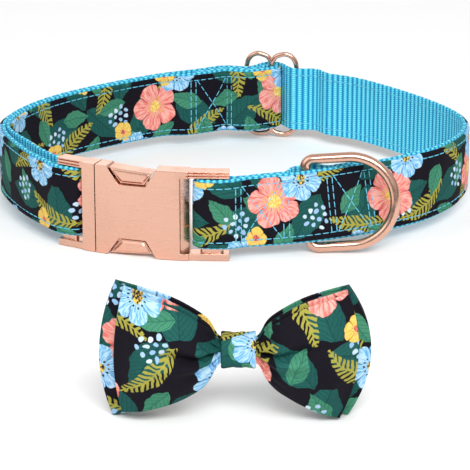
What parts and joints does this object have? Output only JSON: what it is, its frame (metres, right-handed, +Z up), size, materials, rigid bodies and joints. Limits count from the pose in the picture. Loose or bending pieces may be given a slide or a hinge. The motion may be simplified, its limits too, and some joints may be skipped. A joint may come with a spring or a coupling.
{
  "type": "pet collar with bow tie",
  "caption": "Printed cotton and webbing pet collar with a side-release buckle, D-ring and slider, and its bow tie taken off beside it.",
  "frame": {"origin": "middle of the footprint of collar and bow together, on the surface they stand on", "axes": "+Z up, -Y towards the front with the buckle and the bow, +X to the right as seen from the front, towards the D-ring"},
  "size_m": [0.1734, 0.2909, 0.0424],
  "materials": {
    "webbing": "woven nylon webbing, turquoise",
    "print_cotton": "printed cotton twill, floral",
    "rose_gold": "polished rose gold plate",
    "elastic": "woven elastic, black"
  },
  "bodies": {
    "root": {"webbing": "webbing", "print_cover": "print_cotton", "buckle_female": "rose_gold", "buckle_male": "rose_gold", "slider": "rose_gold", "bow_front": "print_cotton", "bow_back": "print_cotton", "bow_knot": "print_cotton", "bow_elastic_left": "elastic", "bow_elastic_right": "elastic"},
    "leash_ring": {"d_ring": "rose_gold"}
  },
  "joints": [
    {"name": "d_ring_swing", "type": "hinge", "parent": "root", "child": "leash_ring", "pos_m": [0.02565, 0.00938, 0.01692], "axis": [0.072, -0.1882, -0.9795], "range_deg": [-10, 125]}
  ]
}
